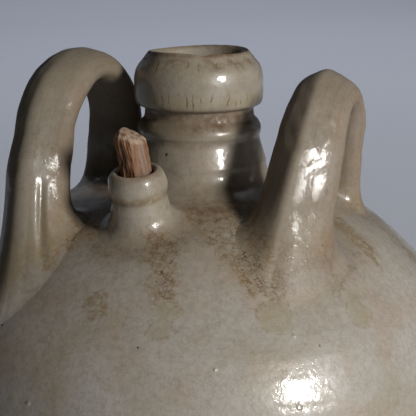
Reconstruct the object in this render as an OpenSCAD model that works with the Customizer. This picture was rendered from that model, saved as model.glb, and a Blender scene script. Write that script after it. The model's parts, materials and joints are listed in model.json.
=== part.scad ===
// Two-handled stoneware storage bottle with a collared neck and a pegged pouring spout.
// Millimetres, +Z up, origin at the middle of the foot's resting plane, spout towards -Y.

/* [Jar] */
// Largest diameter of the round body
jar_d = 302; // [280:2:320]
// Height of the widest point above the foot
belly_h = 152; // [145:1:160]
// Height of the shoulder's crown above the widest point
shoulder_rise = 110; // [106:1:114]
// Wall thickness of the thrown body
wall_t = 8; // [6:0.5:10]
// Thickness of the floor disc above its foot ring
floor_t = 9; // [8:0.5:11]
// Depth of the hollow inside the foot ring
foot_recess = 3; // [1:0.5:4]
// Width of the foot ring that the jar stands on
foot_ring_w = 14; // [8:1:20]

/* [Neck] */
// Total height of the bottle, foot to rim
total_h = 336; // [334:1:340]
// Diameter of the straight bore inside the neck
mouth_bore_d = 46; // [42:1:50]
// Largest diameter of the rolled collar
collar_d = 70.6; // [68:0.2:74]

/* [Spout] */
// Distance of the spout's root from the jar's axis
spout_reach = 68; // [66:1:72]
// Lean of the spout away from the neck, in degrees
spout_lean = 12; // [8:1:15]
// Diameter over the spout's rounded lip
spout_lip_d = 30.8; // [29:0.2:33]
// Diameter of the pouring hole at the lip
spout_hole_d = 18.4; // [17.8:0.2:19.4]

/* [Peg] */
// Length of the wooden peg
peg_l = 43; // [38:1:50]
// Diameter of the peg's worn top
peg_top_d = 17.4; // [16.6:0.2:17.6]
// Diameter of the peg at the spout's lip
peg_lip_d = 17.6; // [17.2:0.2:17.8]
// Diameter of the peg's wedged end
peg_end_d = 13.6; // [13:0.2:13.6]

/* [Left handle] */
// Middle of the left loop, across and towards the back
left_x = -59; // [-62:0.5:-57]
// Place of the left loop along the front to back line
left_y = -28.5; // [-32:0.5:-25]
// Mean radius of the left loop's round top
left_r = 35.5; // [33:0.5:38]
// Height of the centre of the left loop's round top
left_rise = 290.5; // [286:0.5:295]
// Width of the left strap
left_w = 34.5; // [30:0.5:37]

/* [Right handle] */
// Place of the right loop across the jar
right_x = 73; // [70:0.5:78]
// Place of the right loop along the front to back line
right_y = -1; // [-4:0.5:4]
// Mean radius of the right loop's round top
right_r = 26; // [24:1:30]
// Height of the centre of the right loop's round top
right_rise = 291; // [284:0.5:296]
// Width of the right strap
right_w = 34; // [30:1:36]

/* [Straps] */
// Thickness of both pulled straps at the top of the loop
strap_t = 17; // [13:0.5:19]
// Share of the thickness that lies outside the strap's middle line
strap_dome = 0.58; // [0.5:0.01:0.65]
// Forward bow of both front limbs
limb_bow = 5; // [0:0.5:6]
// How far the left strap's front foot is set in towards the neck
left_foot_in = 6; // [0:0.5:8]

/* [Hidden] */
$fn = 96;

// --- smooth curve through a few points -------------------------------------------------
steps_per_span = 3;
function curve_point(a, b, c, d, t) =
    0.5 * (2 * b + (c - a) * t + (2 * a - 5 * b + 4 * c - d) * t * t + (3 * b - a - 3 * c + d) * t * t * t);
function curve(p, n = steps_per_span) = concat(
    [for (i = [0 : len(p) - 2], k = [0 : n - 1])
        curve_point(p[max(i - 1, 0)], p[i], p[i + 1], p[min(i + 2, len(p) - 1)], k / n)],
    [p[len(p) - 1]]);
function reversed(p) = [for (i = [len(p) - 1 : -1 : 0]) p[i]];
function slice(p, first, last) = [for (i = [first : last]) p[i]];
// Points moved sideways by t, to the left of the direction of travel
function unit(v) = v / norm(v);
function inset(p, t) = [for (i = [0 : len(p) - 1])
    let (d = unit(p[min(i + 1, len(p) - 1)] - p[max(i - 1, 0)])) p[i] + t * [-d[1], d[0]]];

// --- the body's outline ----------------------------------------------------------------
// Lower wall, as shares of the belly radius and of the belly height
lower_shape = [[0.583, 0], [0.615, 0.065], [0.715, 0.2], [0.84, 0.38], [0.94, 0.59], [0.99, 0.79]];
// Shoulder, as shares of the belly radius and of the shoulder's rise
upper_shape = [[1, 0], [0.985, 0.15], [0.95, 0.3], [0.89, 0.46], [0.79, 0.62], [0.7, 0.74],
               [0.6, 0.84], [0.5, 0.91], [0.4, 0.96], [0.3, 0.99], [0.17, 1]];
jar_r = jar_d / 2;
outer = curve(concat(
    [for (q = lower_shape) [q[0] * jar_r, q[1] * belly_h]],
    [for (q = upper_shape) [q[0] * jar_r, belly_h + q[1] * shoulder_rise]]));
inner = inset(outer, wall_t);
floor_seam = steps_per_span;                        // where the wall leaves the floor disc
belly_seam = len(lower_shape) * steps_per_span;     // where the two thrown halves meet
crown_end = len(outer) - 1;

function ring_wall(first, last) = concat(slice(outer, first, last), reversed(slice(inner, first, last)));

// The body's outer shape as one solid, used to seat what is luted onto it
module body_solid() {
    rotate_extrude() polygon(concat([[0, 0]], outer, [[0, belly_h + shoulder_rise]]));
}

// --- base: floor disc with a foot ring -------------------------------------------------
foot_hollow_r = outer[0][0] - foot_ring_w;
module base() {
    color("#7c6a55") rotate_extrude() polygon(concat(
        [[0, foot_recess], [foot_hollow_r, foot_recess], [foot_hollow_r + foot_recess, 0]],
        slice(outer, 0, floor_seam),
        [inner[floor_seam], [inner[floor_seam][0] - wall_t, foot_recess + floor_t], [0, foot_recess + floor_t]]));
}

// --- lower_wall and shoulder: the two thrown halves ------------------------------------
module lower_wall() {
    color("#968a78") rotate_extrude() polygon(ring_wall(floor_seam, belly_seam));
}

module shoulder() {
    color("#9a8f7e") difference() {
        rotate_extrude() polygon(ring_wall(belly_seam, crown_end));
        on_spout_axis() translate([0, 0, -peg_l]) cylinder(d = spout_throat_d, h = 2 * peg_l);
    }
}

// --- neck: flared root, bead, groove and rolled collar ---------------------------------
bore_r = mouth_bore_d / 2;
collar_r = collar_d / 2;
rim_drop = 9;                                       // depth of the rounded rim above the bore
crown_z = belly_h + shoulder_rise;
neck_outline = curve([[54, crown_z - 3.4], [47, crown_z - 1.2], [42, crown_z + 2.2], [39.2, crown_z + 6.6],
    [37.2, crown_z + 12], [34.9, crown_z + 19.5], [33.4, crown_z + 26], [34, crown_z + 30.5],
    [33, crown_z + 34.2], [30.4, crown_z + 37], [29.6, crown_z + 40]]);
collar_outline = curve([[29.6, total_h - 31], [collar_r - 1.6, total_h - 29.8], [collar_r - 0.5, total_h - 27],
    [collar_r, total_h - 20.5], [collar_r - 0.1, total_h - 15], [collar_r - 1.8, total_h - 9],
    [30, total_h - 3.9], [28, total_h - 1], [26.5, total_h], [24.8, total_h - 1.6], [bore_r, total_h - rim_drop]]);
// The neck's lower outer shape as one solid, used to seat the strap that is luted against it
module neck_root() {
    rotate_extrude() polygon(concat([[0, crown_z - 8], [54, crown_z - 8]], neck_outline, [[0, crown_z + 40]]));
}
module neck() {
    color("#8f8370") difference() {
        rotate_extrude() polygon(concat([[54, crown_z - 8]], neck_outline, collar_outline, [[bore_r, crown_z - 8]]));
        body_solid();
    }
}

// --- spout: small flared nozzle with a rounded lip -------------------------------------
spout_root_z = crown_z - 13;
spout_throat_d = peg_end_d + 2;                     // the narrow end that steadies the peg
spout_throat_h = 20;                                // height up to which the throat stays narrow
lip_r = spout_lip_d / 2;
lip_h = 33.5;
spout_outline = curve([[27, -3], [22, 0], [18, 5], [15.4, 13], [lip_r - 0.8, 18], [lip_r - 0.3, 22],
    [lip_r, 26], [lip_r - 1, 31], [lip_r - 3.1, lip_h], [lip_r - 4.8, lip_h - 0.5]]);
module on_spout_axis() {
    translate([0, -spout_reach, spout_root_z]) rotate([spout_lean, 0, 0]) children();
}
module spout() {
    color("#9a8f7e") difference() {
        on_spout_axis() rotate_extrude() polygon(concat([[spout_throat_d / 2, -22], [27, -22]], spout_outline,
            [[spout_hole_d / 2, lip_h - 3], [spout_throat_d / 2, spout_throat_h]]));
        body_solid();
    }
}

// --- plug: tapered wooden peg ----------------------------------------------------------
peg_foot_h = 13;                                    // where the peg's end sits on the spout's axis
peg_edge = 1.5;
module plug() {
    color("#9c6f55") on_spout_axis() rotate_extrude() polygon([
        [0, peg_foot_h], [peg_end_d / 2 - peg_edge, peg_foot_h], [peg_end_d / 2, peg_foot_h + peg_edge],
        [peg_lip_d / 2, lip_h - 2.5],
        [peg_top_d / 2, peg_foot_h + peg_l - 3], [peg_top_d / 2 - 2.5, peg_foot_h + peg_l], [0, peg_foot_h + peg_l]]);
}

// --- handles: pulled straps bent into loops --------------------------------------------
strap_sides = 24;
path_step = 5;                                      // distance between rings along a strap
bow_length = 72;                                    // length of a front limb that is bowed
foot_flare = 0.45;                                  // extra size of a strap where it is luted on
flare_fade = 12;                                    // height over which the flare dies away
foot_level = 244;                                   // height at which the flare is full
buried_level = 212;                                 // the strap runs on to here, inside the body

// Loop in its own plane: a straight limb, the round top and a straight limb, each limb tangent to
// the top and splayed outwards going down. Points are [along, up] from the centre of the top.
function smooth(low, high, v) = let (t = min(1, max(0, (v - low) / (high - low)))) t * t * (3 - 2 * t);
function bow(s) = s < bow_length ? pow(sin(180 * s / bow_length), 2) : 0;
function limb(r, splay, depth, side, bowed) = let (
    start = r * [side * cos(splay), sin(splay)],
    reach = (depth + start[1]) / cos(splay),
    count = ceil(reach / path_step))
    [for (i = [count : -1 : 1]) let (s = reach * i / count)
        start + s * [side * sin(splay), -cos(splay)] + [side * bowed * bow(s), 0]];
function round_top(r, front_splay, back_splay) = let (
    sweep = 180 - front_splay - back_splay,
    count = ceil(sweep * PI / 180 * r / path_step))
    [for (i = [0 : count]) let (a = front_splay + sweep * i / count) r * [-cos(a), sin(a)]];
function loop_path(r, front_splay, back_splay, depth) = concat(
    limb(r, front_splay, depth, -1, limb_bow), round_top(r, front_splay, back_splay),
    reversed(limb(r, back_splay, depth, 1, 0)));

// Section of a strap. Directions turn from the outer face towards +X. At the top of the loop it is an
// oval. A front limb has been pressed into flat sides, each given by its direction and its distance
// from the middle, and the corners between them are rounded by adding the sides as powers
left_sides = [[44, 12.3], [-32, 14.3], [109, 18.8], [-91, 18], [180, 10.5]];
right_sides = [[34, 11.2], [-40, 14], [105, 17.8], [-100, 17.8], [180, 10]];
roundness = 7;
function oval(a, w, t) = let (b = t * (cos(a) > 0 ? strap_dome : 1 - strap_dome))
    1 / norm([2 * sin(a) / w, cos(a) / b]);
function sum(v, i = 0) = i < len(v) ? v[i] + sum(v, i + 1) : 0;
function pressed(a, sides) =
    pow(sum([for (q = sides) pow(max(0, cos(a - q[0])) / q[1], roundness)]), -1 / roundness);
function strap_ring(centre, across, outwards, w, sides, limb, swell) = [for (k = [0 : strap_sides - 1])
    let (a = 360 * k / strap_sides, r = swell * ((1 - limb) * oval(a, w, strap_t) + limb * pressed(a, sides)))
    centre + r * (sin(a) * across + cos(a) * outwards)];

// A strap swept along its loop. turn swings the loop's plane about Z, lean tips its top towards +X
module strap(x, y, top_z, r, w, sides, turn, lean, front_splay, back_splay, foot_in = 0) {
    path = loop_path(r, front_splay, back_splay, (top_z - buried_level) / cos(lean));
    along = [-sin(turn), cos(turn), 0];
    up = [cos(turn) * sin(lean), sin(turn) * sin(lean), cos(lean)];
    across = cross(along, up);
    last = len(path) - 1;
    rings = [for (i = [0 : last]) let (
        flat = unit(path[min(i + 1, last)] - path[max(i - 1, 0)]),
        tangent = flat[0] * along + flat[1] * up,
        set_in = path[i][0] < 0 ? foot_in * smooth(10, 62, -path[i][1]) : 0,
        centre = [x, y, top_z] + path[i][0] * along + path[i][1] * up + set_in * across,
        limb = min(1, 1.4 * max(0, cos(180 * i / last))),
        swell = 1 + foot_flare * exp(-max(0, centre[2] - foot_level) / flare_fade))
        strap_ring(centre, across, cross(across, tangent), w, sides, limb, swell)];
    n = strap_sides;
    polyhedron(
        points = [for (ring = rings) each ring],
        faces = concat(
            [[for (k = [0 : n - 1]) k]],
            [for (i = [0 : last - 1], k = [0 : n - 1]) let (j = (k + 1) % n)
                each [[i * n + k, (i + 1) * n + k, (i + 1) * n + j], [i * n + k, (i + 1) * n + j, i * n + j]]],
            [[for (k = [n - 1 : -1 : 0]) last * n + k]]));
}

module left_handle() {
    color("#857a68") difference() {
        strap(left_x, left_y, left_rise, left_r, left_w, left_sides,
            turn = -4, lean = 2.5, front_splay = 10, back_splay = 0, foot_in = left_foot_in);
        body_solid();
        neck_root();
    }
}

module right_handle() {
    color("#a39786") difference() {
        strap(right_x, right_y, right_rise, right_r, right_w, right_sides,
            turn = 8, lean = 7, front_splay = 14, back_splay = 8);
        body_solid();
    }
}

base();
lower_wall();
shoulder();
neck();
spout();
left_handle();
right_handle();
plug();
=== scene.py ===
"""Two-handled stoneware bottle with a collared neck and a pegged pouring spout.

The bottle is dressed round its CAD frame. The clay pieces are numpy surfaces: profiles turned on the
jar's axis, straps swept along their loops, and luted skirts that run every joint smoothly onto the
body. Lengths inside the classes are millimetres, and become metres when a mesh is made.
"""

from __future__ import annotations

import json
import logging
import math
from dataclasses import dataclass, field
from enum import Enum
from typing import Any, Sequence

import bpy
import numpy as np
from mathutils import Matrix, Vector

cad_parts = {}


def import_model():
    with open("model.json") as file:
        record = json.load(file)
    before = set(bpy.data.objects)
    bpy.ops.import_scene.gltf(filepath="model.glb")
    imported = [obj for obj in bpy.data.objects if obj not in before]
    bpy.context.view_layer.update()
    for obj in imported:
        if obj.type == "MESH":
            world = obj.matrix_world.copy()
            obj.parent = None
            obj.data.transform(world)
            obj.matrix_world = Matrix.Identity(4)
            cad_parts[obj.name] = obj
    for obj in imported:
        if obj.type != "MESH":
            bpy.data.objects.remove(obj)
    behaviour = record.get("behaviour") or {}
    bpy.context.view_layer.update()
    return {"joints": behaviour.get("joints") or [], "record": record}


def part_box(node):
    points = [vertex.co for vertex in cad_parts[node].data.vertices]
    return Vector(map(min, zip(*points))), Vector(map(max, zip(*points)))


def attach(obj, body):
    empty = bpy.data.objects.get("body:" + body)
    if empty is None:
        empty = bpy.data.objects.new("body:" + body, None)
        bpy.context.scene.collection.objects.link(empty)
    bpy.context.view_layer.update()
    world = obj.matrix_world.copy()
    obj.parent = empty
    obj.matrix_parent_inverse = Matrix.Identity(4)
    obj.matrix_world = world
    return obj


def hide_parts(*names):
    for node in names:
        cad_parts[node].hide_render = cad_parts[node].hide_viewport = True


LOG = logging.getLogger("bottle")
MM = 0.001
TAU = 2 * math.pi
UP = np.array([0.0, 0.0, 1.0])


# --- small tools ---------------------------------------------------------------------------------


def linear(hex_colour: str) -> tuple[float, float, float, float]:
    """Turns an sRGB hex colour into the linear colour that a shader socket takes.

    Args:
        hex_colour: A colour such as "#9d9281".

    Returns:
        Linear red, green, blue and an alpha of 1.
    """
    srgb = [int(hex_colour[i : i + 2], 16) / 255 for i in (1, 3, 5)]
    rgb = [c / 12.92 if c <= 0.04045 else ((c + 0.055) / 1.055) ** 2.4 for c in srgb]
    return rgb[0], rgb[1], rgb[2], 1.0


def add_node(
    tree: bpy.types.NodeTree, kind: str, inputs: dict[str | int, Any] | None = None, **settings: Any
) -> bpy.types.Node:
    """Adds one shader node with its settings, values and links.

    Args:
        tree: The node tree that gets the node.
        kind: Blender's identifier of the node, without the leading "ShaderNode".
        inputs: Socket name or number, with the socket that feeds it or the value that it holds.
        **settings: Properties of the node. "stops" fills a colour ramp with (place, colour) pairs.

    Returns:
        The new node.
    """
    made = tree.nodes.new("ShaderNode" + kind)
    stops = settings.pop("stops", None)
    for key, value in settings.items():
        setattr(made, key, value)
    for key, value in (inputs or {}).items():
        if isinstance(value, bpy.types.NodeSocket):
            tree.links.new(value, made.inputs[key])
        else:
            made.inputs[key].default_value = value
    if stops:
        ramp = made.color_ramp
        while len(ramp.elements) < len(stops):
            ramp.elements.new(0.5)
        for element, (place, colour) in zip(ramp.elements, stops):
            element.position, element.color = place, colour
    return made


def unit(v: np.ndarray) -> np.ndarray:
    """Scales vectors along the last axis to length 1."""
    return v / np.maximum(np.linalg.norm(v, axis=-1, keepdims=True), 1e-12)


def ease(low: float, high: float, x: np.ndarray) -> np.ndarray:
    """Smooth step from 0 at low to 1 at high."""
    t = np.clip((x - low) / (high - low), 0, 1)
    return t * t * (3 - 2 * t)


def hump(x: np.ndarray, middle: float, width: float) -> np.ndarray:
    """Bell curve of height 1 round a middle value."""
    return np.exp(-(((x - middle) / width) ** 2))


def smooth_curve(points: Sequence[Sequence[float]], steps: int) -> np.ndarray:
    """Catmull-Rom curve through a few points.

    Args:
        points: The points that the curve passes through.
        steps: Samples in each span between two points.

    Returns:
        The sampled curve, one row for each point.
    """
    p = np.asarray(points, float)
    p = np.vstack([p[:1], p, p[-1:]])
    t = (np.arange(steps) / steps)[None, :, None]
    a, b, c, d = (p[i : len(p) - 3 + i, None, :] for i in range(4))
    spans = 0.5 * (
        2 * b + (c - a) * t + (2 * a - 5 * b + 4 * c - d) * t**2 + (3 * b - a - 3 * c + d) * t**3
    )
    return np.vstack([spans.reshape(-1, p.shape[1]), p[-1:]])


def ripple(points: np.ndarray, wavelength: float, seed: int, waves: int = 7) -> np.ndarray:
    """Smooth seeded unevenness: sine waves of one length that cross in every direction.

    Args:
        points: Positions, with x, y and z along the last axis.
        wavelength: Distance between crests, in the units of the points.
        seed: Picks the directions and phases.
        waves: Number of waves added up.

    Returns:
        A height for each position, mostly between -1 and 1.
    """
    rng = np.random.default_rng(seed)
    directions = unit(rng.normal(size=(waves, 3)))
    phases = rng.uniform(0, TAU, waves)
    return np.sin(points @ directions.T * (TAU / wavelength) + phases).sum(-1) / math.sqrt(waves)


def turned(profile: np.ndarray, columns: int) -> tuple[np.ndarray, np.ndarray]:
    """Turns a profile round the Z axis.

    Args:
        profile: Radius and height of each row.
        columns: Points round each row.

    Returns:
        The grid of points, and the azimuth of each column in radians, from -Y towards +X.
    """
    azimuth = np.arange(columns) * TAU / columns + math.pi
    ring = np.stack([np.sin(azimuth), -np.cos(azimuth), np.zeros(columns)], -1)
    return profile[:, None, :1] * ring[None] + profile[:, None, 1:] * UP, azimuth


class Ends(Enum):
    """How the first and last rows of a grid are closed."""

    JOINED = "joined"
    CAPPED = "capped"


def grid_object(
    name: str,
    rows: np.ndarray,
    ends: Ends,
    marks: dict[str, np.ndarray] | None = None,
    sharp_degrees: float = 50,
) -> bpy.types.Object:
    """Makes a closed mesh from a grid of points whose columns run round the piece.

    The faces are wound so that the volume they close is positive, which points them outwards. The UV
    map holds real distances in metres: u round the piece and v along its rows.

    Args:
        name: Name of the piece.
        rows: Points in millimetres, as rows, columns and coordinates.
        ends: Whether the last row joins the first, or both are closed with a middle point.
        marks: Names of point attributes with a value for each grid point.
        sharp_degrees: Edges that turn by more than this are shaded as edges.

    Returns:
        The object, at the origin.
    """
    count, columns = rows.shape[:2]
    bands = count if ends is Ends.JOINED else count - 1
    i = np.arange(bands)[:, None]
    j = np.arange(columns)[None, :]
    below, above = i * columns, (i + 1) % count * columns
    right = (j + 1) % columns
    quads = np.stack([below + j, below + right, above + right, above + j], -1).reshape(-1, 4)

    around = np.linalg.norm(np.diff(rows, axis=1, append=rows[:, :1]), axis=-1).sum(1)
    u_size = float(np.percentile(around, 75)) / columns
    step = np.linalg.norm(np.diff(rows, axis=0, append=rows[:1]), axis=-1).mean(1)
    v_at = np.concatenate([[0.0], np.cumsum(step)])
    u = np.stack([j, j + 1, j + 1, j], -1) * u_size + 0 * i[..., None]
    v = np.stack([v_at[i], v_at[i], v_at[i + 1], v_at[i + 1]], -1) + 0 * j[..., None]
    uv = np.stack([u, v], -1).reshape(-1, 4, 2)

    points = rows.reshape(-1, 3)
    faces = [quads]
    maps = [uv]
    if ends is Ends.CAPPED:
        points = np.vstack([points, rows[0].mean(0), rows[-1].mean(0)])
        first, last = count * columns, count * columns + 1
        top = (count - 1) * columns
        column, beside = np.arange(columns), np.roll(np.arange(columns), -1)
        faces.append(np.stack([beside, column, np.full(columns, first)], -1))
        faces.append(np.stack([top + column, top + beside, np.full(columns, last)], -1))
        maps += [np.zeros((columns, 3, 2)), np.full((columns, 3, 2), v_at[-2])]

    a, b, c, d = (points[quads[:, k]] for k in range(4))
    volume = (a * (np.cross(b, c) + np.cross(c, d))).sum()
    if volume < 0:
        faces = [f[:, ::-1] for f in faces]
        maps = [m[:, ::-1] for m in maps]

    mesh = bpy.data.meshes.new(name)
    mesh.from_pydata((points * MM).tolist(), [], [f for block in faces for f in block.tolist()])
    mesh.uv_layers.new(name="surface").data.foreach_set(
        "uv", np.concatenate([m.reshape(-1) for m in maps]) * MM
    )
    for key, values in (marks or {}).items():
        padded = np.zeros(len(points), np.float32)
        padded[: values.size] = np.clip(values, 0, 1).reshape(-1)
        mesh.attributes.new(key, "FLOAT", "POINT").data.foreach_set("value", padded)
    mesh.polygons.foreach_set("use_smooth", np.ones(len(mesh.polygons), bool))
    mesh.set_sharp_from_angle(angle=math.radians(sharp_degrees))
    mesh.validate()
    made = bpy.data.objects.new(name, mesh)
    bpy.context.scene.collection.objects.link(made)
    return made


def dress(piece: bpy.types.Object, material: bpy.types.Material, slot: str, body: str, *nodes: str) -> None:
    """Gives a piece its finish and its place in the frame.

    Args:
        piece: The piece.
        material: Its finish.
        slot: The record's material slot. It is not used.
        body: The CAD body that it moves with.
        *nodes: The CAD nodes that it stands for.
    """
    piece.data.materials.append(material)
    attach(piece, body)
    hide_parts(*nodes)
    LOG.info("%s: %d vertices, stands for %s", piece.name, len(piece.data.vertices), ", ".join(nodes))


# --- finishes ------------------------------------------------------------------------------------


class Recipe:
    """An empty material, and the few steps that every finish is mixed from.

    Attributes:
        material: The material.
        place: Object coordinates.
        surface: The UV map, in metres.
    """

    def __init__(self, name: str) -> None:
        """Starts the material.

        Args:
            name: Name of the material.
        """
        self.material = bpy.data.materials.new(name)
        self.material.use_nodes = True
        self.tree = self.material.node_tree
        self.tree.nodes.clear()
        coordinates = self.node("TexCoord")
        self.place = coordinates.outputs["Object"]
        self.surface = coordinates.outputs["UV"]

    def node(
        self, kind: str, inputs: dict[str | int, Any] | None = None, **settings: Any
    ) -> bpy.types.Node:
        """Adds one node to the material, as add_node does."""
        return add_node(self.tree, kind, inputs, **settings)

    def mark(self, name: str) -> bpy.types.NodeSocket:
        """One of the marks that the piece carries."""
        return self.node("Attribute", attribute_name=name).outputs["Fac"]

    def noise(
        self, size_mm: float, detail: float = 3.0, rough: float = 0.55, at: Any = None, output: str = "Fac",
        **more: float,
    ) -> bpy.types.NodeSocket:
        """Noise whose blotches are about one size.

        Args:
            size_mm: Size of the blotches, in millimetres.
            detail: Number of finer layers.
            rough: How strong the finer layers are.
            at: Coordinates, which are the object's unless others are given.
            output: "Fac" for a value or "Color" for three.
            **more: Other inputs of the noise.

        Returns:
            The noise.
        """
        at = self.place if at is None else at
        inputs = {"Vector": at, "Scale": 1 / (size_mm * MM), "Detail": detail, "Roughness": rough, **more}
        return self.node("TexNoise", inputs).outputs[output]

    def cells(self, size_mm: float, at: Any, randomness: float = 1.0, **settings: Any) -> bpy.types.Node:
        """Cells of about one size in millimetres."""
        inputs = {"Vector": at, "Scale": 1 / (size_mm * MM), "Randomness": randomness}
        return self.node("TexVoronoi", inputs, **settings)

    def spread(
        self, value: Any, low: float, high: float, bottom: float = 0.0, top: float = 1.0,
        kind: str = "SMOOTHSTEP",
    ) -> bpy.types.NodeSocket:
        """Value stretched from one range to another, and held at its ends."""
        inputs = {"Value": value, "From Min": low, "From Max": high, "To Min": bottom, "To Max": top}
        return self.node("MapRange", inputs, interpolation_type=kind).outputs["Result"]

    def maths(self, operation: str, a: Any, b: Any) -> bpy.types.NodeSocket:
        """Two values put together and held between 0 and 1."""
        return self.node("Math", {0: a, 1: b}, operation=operation, use_clamp=True).outputs[0]

    def blend(self, amount: Any, base: Any, over: Any) -> bpy.types.NodeSocket:
        """Colour laid over another by an amount. The one on top may be an sRGB hex colour."""
        over = linear(over) if isinstance(over, str) else over
        return self.node("Mix", {0: amount, 6: base, 7: over}, data_type="RGBA").outputs[2]

    def ramp(self, value: Any, *stops: tuple[float, str]) -> bpy.types.NodeSocket:
        """Colours that follow a value, from places and sRGB hex colours."""
        placed = [(place, linear(colour)) for place, colour in stops]
        return self.node("ValToRGB", {"Fac": value}, stops=placed).outputs["Color"]

    def bump(self, height: Any, depth_mm: float, below: Any = None) -> bpy.types.NodeSocket:
        """Fine relief of one depth in millimetres, laid over other relief."""
        inputs = {"Height": height, "Distance": depth_mm * MM, "Strength": 1.0}
        if below is not None:
            inputs["Normal"] = below
        return self.node("Bump", inputs).outputs["Normal"]

    def finished(self, inputs: dict[str | int, Any]) -> bpy.types.Material:
        """Closes the material with its shader, from the shader's inputs."""
        shader = self.node("BsdfPrincipled", inputs)
        self.node("OutputMaterial", {"Surface": shader.outputs["BSDF"]})
        return self.material


@dataclass(frozen=True)
class Glaze:
    """Feldspathic ash glaze, dipped over stoneware and fired glossy.

    It gives the eye a putty grey ground that drifts to olive and to pinkish tan where it is thin, a
    crackle that old contents have stained rust brown, iron specks, and an orange-peel skin that
    breaks every highlight. Each piece carries marks that say where it is stained, crackled, pooled,
    thin, deep in tone, crazed, pulled or dry.

    Attributes:
        name: Name of the material.
        strap_streaks: Strength of the pulled streaks that run along a strap.
        craze_lines: Strength of the stained upright craze lines, where the piece's mark allows them.
    """

    name: str
    strap_streaks: float = 0.0
    craze_lines: float = 0.0

    ground: str = "#a39b91"
    grey: str = "#a6a29c"
    olive: str = "#968e7d"
    tan: str = "#a18e7e"
    mottled: str = "#766c5e"
    milky: str = "#b9b0a2"
    deep: str = "#837967"
    pool: str = "#8a7f58"
    pool_edge: str = "#7c6236"
    streaked: str = "#6a5943"
    clay: str = "#7d5a3a"
    haze: str = "#7d6244"
    stain: str = "#5a4029"
    rust: str = "#4d2f19"
    iron: str = "#21150d"
    cloud_mm: float = 46.0
    drift_mm: float = 24.0
    mottle_mm: float = 3.2
    crack_cell_mm: float = 4.6
    fine_cell_mm: float = 2.9
    speck_cell_mm: float = 16.0
    peel_mm: float = 2.6
    craze_gap_mm: float = 4.5
    craze_wobble_mm: float = 1.5
    blister_gap_mm: float = 26.0

    def material(self) -> bpy.types.Material:
        """Builds the material.

        Returns:
            The glaze, reading object coordinates, the UV map and the marks of the piece.
        """
        mix = Recipe(self.name)
        mottle = mix.noise(self.mottle_mm, 4.0, 0.7)
        warp = mix.noise(6.0, 4.0, 0.6, output="Color")
        bent = mix.node(
            "VectorMath", {0: warp, 1: (4.5 * MM,) * 3, 2: mix.place}, operation="MULTIPLY_ADD"
        ).outputs["Vector"]

        colour = self.streaks(mix, self.fired_ground(mix, mottle), mottle)
        broken = mix.spread(mix.noise(4.0, 4.0, 0.65), 0.4, 0.7, 0.05, 0.5)
        haze = mix.maths("MULTIPLY", mix.mark("crackle"), broken)
        colour = mix.blend(haze, colour, self.haze)
        washed = mix.spread(mix.noise(5.0, 4.0, 0.65), 0.32, 0.62, 0.3, 1.0)
        washed = mix.maths("MULTIPLY", mix.mark("stain"), washed)
        colour = mix.blend(mix.maths("MULTIPLY", washed, 0.8), colour, self.stain)
        net = self.crack_net(mix, bent)
        colour = mix.blend(mix.maths("MULTIPLY", net, 0.95), colour, self.rust)
        specks = mix.cells(self.speck_cell_mm, bent)
        chosen = mix.node("SeparateColor", {0: specks.outputs["Color"]}).outputs[0]
        dots = mix.spread(specks.outputs["Distance"], 0.03, 0.055, 1.0, 0.0)
        iron = mix.maths("MULTIPLY", dots, mix.spread(chosen, 0.6, 0.62))
        colour = mix.blend(mix.maths("MULTIPLY", iron, 0.9), colour, self.iron)

        dull = mix.maths("MAXIMUM", mix.mark("dry"), washed)
        rough = mix.maths("ADD", mix.spread(mottle, 0.3, 0.8, 0.32, 0.5), mix.maths("MULTIPLY", dull, 0.32))
        wet = mix.maths("SUBTRACT", 0.55, mix.maths("MULTIPLY", dull, 0.55))
        blister = mix.spread(mix.cells(self.blister_gap_mm, bent).outputs["Distance"], 0.02, 0.07, 1.0, 0.0)
        pits = mix.maths("SUBTRACT", 1.0, mix.maths("MAXIMUM", iron, mix.maths("MULTIPLY", net, 0.35)))
        peel = mix.bump(mix.noise(self.peel_mm, 3.0, 0.6), 0.1)
        sagged = mix.bump(mix.noise(6.0, 2.0, 0.5), 0.2, peel)
        blistered = mix.bump(blister, 0.4, sagged)
        normal = mix.bump(pits, 0.15, blistered)
        return mix.finished({
            "Base Color": colour, "Roughness": rough, "IOR": 1.5, "Normal": normal, "Coat Weight": wet,
            "Coat Roughness": 0.07, "Coat IOR": 1.5, "Coat Normal": normal,
        })

    def fired_ground(self, mix: Recipe, mottle: bpy.types.NodeSocket) -> bpy.types.NodeSocket:
        """Colour of the clean glaze: greyer low on the body, clouded, and olive where it has pooled.

        Args:
            mix: The material.
            mottle: Its finest blotches.

        Returns:
            The colour.
        """
        drift = mix.noise(self.drift_mm, 4.0)
        height = mix.node("SeparateXYZ", {0: mix.place}).outputs["Z"]
        raised = mix.maths("ADD", height, mix.spread(drift, 0.3, 0.7, 0.0, 0.03))
        colour = mix.blend(mix.spread(raised, 0.16, 0.25, 1.0, 0.15), linear(self.ground), self.grey)
        clouds = mix.spread(mix.noise(self.cloud_mm, 4.0), 0.42, 0.66, 0.0, 0.7)
        colour = mix.blend(clouds, colour, self.olive)
        colour = mix.blend(mix.spread(drift, 0.48, 0.68, 0.0, 0.42), colour, self.tan)
        colour = mix.blend(mix.spread(mottle, 0.35, 0.75, 0.0, 0.4), colour, self.mottled)
        colour = mix.blend(mix.spread(mix.noise(1.3, 2.0, 0.6), 0.55, 0.75, 0.0, 0.22), colour, self.milky)
        colour = mix.blend(mix.mark("tone"), colour, self.deep)
        pool = mix.mark("pool")
        pooled = mix.maths("MULTIPLY", pool, mix.spread(drift, 0.2, 0.55, 0.2, 0.46))
        colour = mix.blend(pooled, colour, self.pool)
        shore = mix.maths("SUBTRACT", mix.spread(pool, 0.12, 0.3), mix.spread(pool, 0.3, 0.5))
        shore = mix.maths("SUBTRACT", shore, mix.spread(mix.mark("craze"), 0.0, 0.1))
        broken_shore = mix.maths("MULTIPLY", shore, mix.spread(mottle, 0.4, 0.6, 0.0, 0.5))
        return mix.blend(broken_shore, colour, self.pool_edge)

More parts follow.
